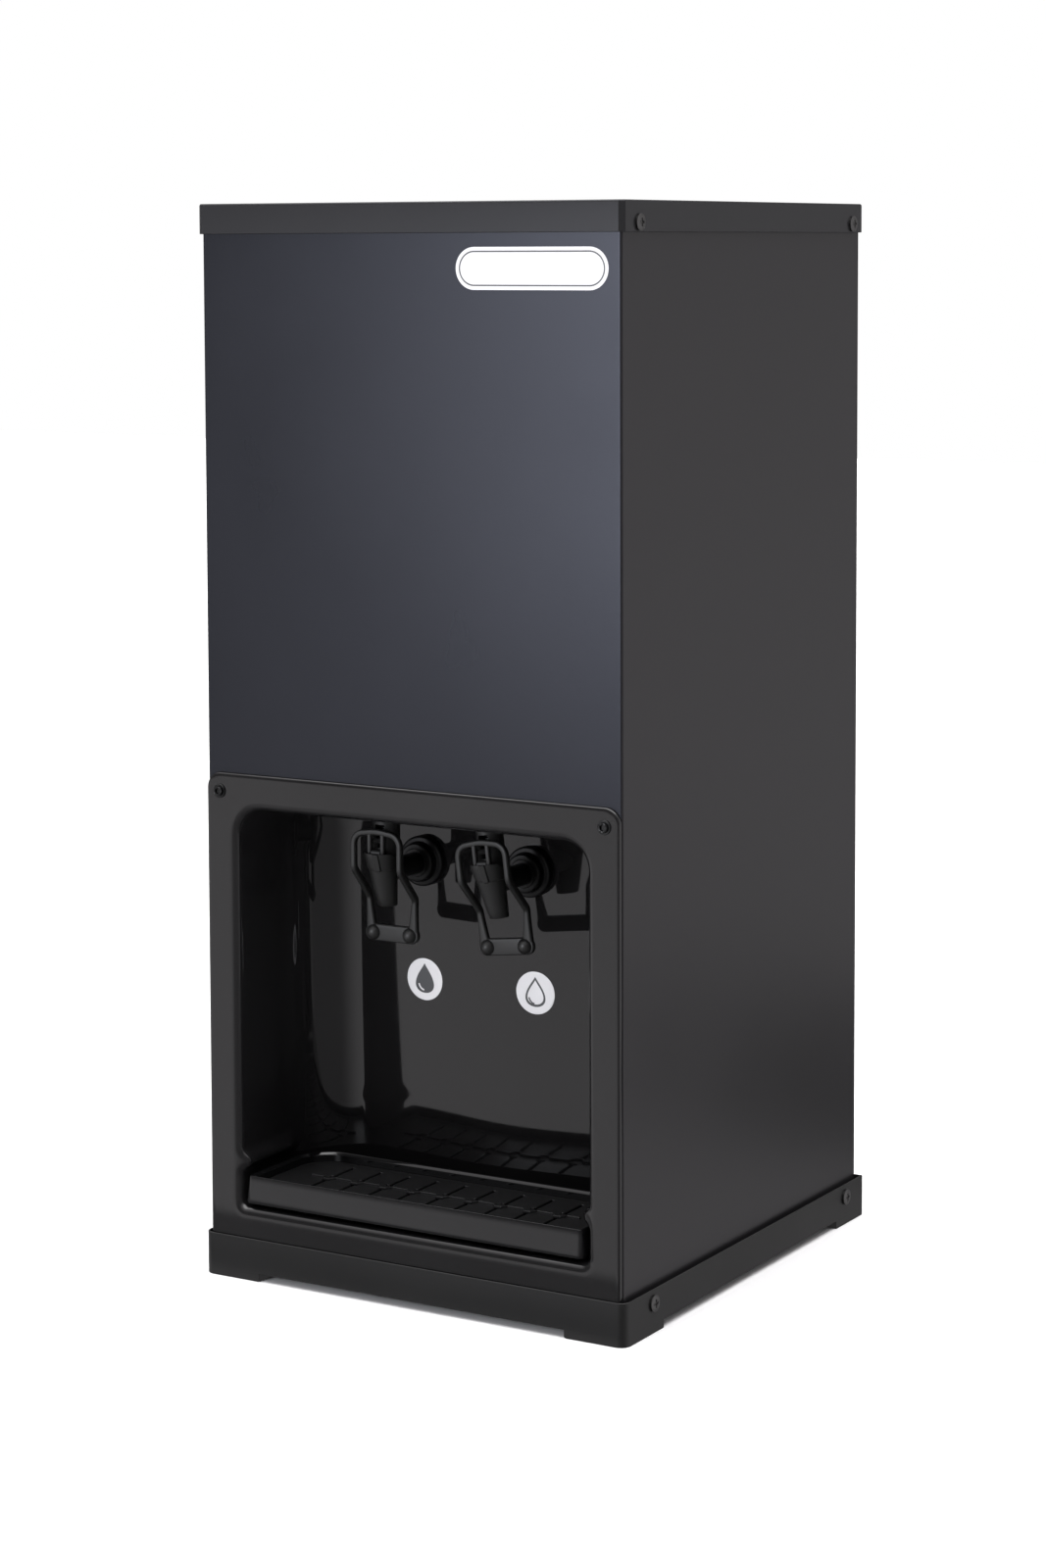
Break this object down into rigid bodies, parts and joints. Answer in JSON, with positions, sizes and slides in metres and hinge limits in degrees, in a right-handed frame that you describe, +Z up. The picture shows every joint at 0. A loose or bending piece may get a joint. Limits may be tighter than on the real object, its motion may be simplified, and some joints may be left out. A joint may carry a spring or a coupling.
{
  "type": "water cooler",
  "caption": "Free-standing mains-fed water cooler with a sheet-metal cabinet, glossy tap alcove, cup-operated taps and a pull-out drip tray.",
  "frame": {"origin": "middle of the bounding box's bottom, on the floor under the cabinet", "axes": "+Z up, the front with the alcove faces -Y, +X is the viewer's right from the front"},
  "size_m": [0.3662, 0.4002, 0.8],
  "materials": {
    "body_paint": "satin charcoal powder coat",
    "plinth": "satin black moulding",
    "gloss_black": "high-gloss black vacuum-formed plastic",
    "grille": "satin black moulding",
    "tap_black": "fine matt black moulding",
    "dark_screw": "black-finished steel",
    "steel": "brushed stainless steel",
    "galvanised": "galvanised sheet",
    "rubber": "matt black rubber",
    "copper": "bare copper",
    "brass": "machined brass",
    "foam": "expanded foam",
    "white_plastic": "natural white plastic",
    "float_plastic": "orange float plastic",
    "compressor_black": "black enamel",
    "black_plastic": "satin black plastic"
  },
  "bodies": {
    "cabinet": {"left_side_panel": "body_paint", "right_side_panel": "body_paint", "front_panel": "body_paint", "rear_panel": "body_paint", "top_cap": "body_paint", "plinth": "plinth", "alcove_panel": "gloss_black", "cap_screws": "dark_screw", "plinth_screws": "dark_screw", "fascia_screws": "dark_screw", "rear_screws": "dark_screw", "left_tap_body": "tap_black", "left_tap_bonnet": "tap_black", "left_tap_wall_nut": "tap_black", "left_tap_lock_nut": "tap_black", "right_tap_body": "tap_black", "right_tap_bonnet": "tap_black", "right_tap_wall_nut": "tap_black", "right_tap_lock_nut": "tap_black", "left_tap_pin": "steel", "left_tap_spring": "steel", "right_tap_pin": "steel", "right_tap_spring": "steel", "water_tank": "steel", "compressor_bolts": "steel", "tank_shelf": "galvanised", "left_tap_gasket": "rubber", "right_tap_gasket": "rubber", "compressor_mounts": "rubber", "evaporator_coil": "copper", "filter_drier": "copper", "refrigerant_lines": "copper", "inlet_fitting": "brass", "inlet_nut": "brass", "insulation": "foam", "tank_lid": "white_plastic", "float_valve": "white_plastic", "float_hose": "white_plastic", "natural_hose": "white_plastic", "cold_hose": "white_plastic", "thermostat": "white_plastic", "compressor": "compressor_black", "condenser": "compressor_black", "terminal_box": "black_plastic", "cord_gland": "black_plastic", "gland_nut": "black_plastic"},
    "left_lever": {"left_tap_lever": "tap_black"},
    "left_plunger": {"left_tap_plunger": "white_plastic", "left_tap_seal": "rubber"},
    "right_lever": {"right_tap_lever": "tap_black"},
    "right_plunger": {"right_tap_plunger": "white_plastic", "right_tap_seal": "rubber"},
    "drip_tray": {"drip_tray": "gloss_black"},
    "tray_grille": {"tray_grille": "grille"},
    "thermostat_knob": {"thermostat_knob": "black_plastic"},
    "float": {"float_arm": "white_plastic", "float_ball": "float_plastic"}
  },
  "joints": [
    {"name": "left_lever_hinge", "type": "hinge", "parent": "cabinet", "child": "left_lever", "pos_m": [-0.0465, -0.1634, 0.3254], "axis": [1, 0, 0], "range_deg": [0, 15], "stiffness_Nm_per_rad": 0.6, "springref_deg": -5.73},
    {"name": "left_plunger_lift", "type": "slide", "parent": "cabinet", "child": "left_plunger", "axis": [0, 0, 1], "range_m": [0, 0.0045], "deforming": ["left_tap_spring"]},
    {"name": "right_lever_hinge", "type": "hinge", "parent": "cabinet", "child": "right_lever", "pos_m": [0.04462, -0.1634, 0.32528], "axis": [0.9925, 0, 0.1219], "range_deg": [0, 15], "stiffness_Nm_per_rad": 0.6, "springref_deg": -5.73},
    {"name": "right_plunger_lift", "type": "slide", "parent": "cabinet", "child": "right_plunger", "axis": [-0.1219, 0, 0.9925], "range_m": [0, 0.0045], "deforming": ["right_tap_spring"]},
    {"name": "tray_slide", "type": "slide", "parent": "cabinet", "child": "drip_tray", "axis": [0, -1, 0], "range_m": [0, 0.09]},
    {"name": "grille_lift", "type": "slide", "parent": "drip_tray", "child": "tray_grille", "axis": [0, 0, 1], "range_m": [0, 0.06]},
    {"name": "thermostat_turn", "type": "hinge", "parent": "cabinet", "child": "thermostat_knob", "pos_m": [-0.11, 0.1841, 0.698], "axis": [0, 1, 0], "range_deg": [0, 270]},
    {"name": "float_hinge", "type": "hinge", "parent": "cabinet", "child": "float", "pos_m": [0, 0.0901, 0.7195], "axis": [-1, 0, 0], "range_deg": [0, 20]}
  ],
  "couplings": [
    {"joint": "left_plunger_lift", "follows": "left_lever_hinge", "m_per_rad": 0.0163},
    {"joint": "right_plunger_lift", "follows": "right_lever_hinge", "m_per_rad": 0.0163}
  ]
}
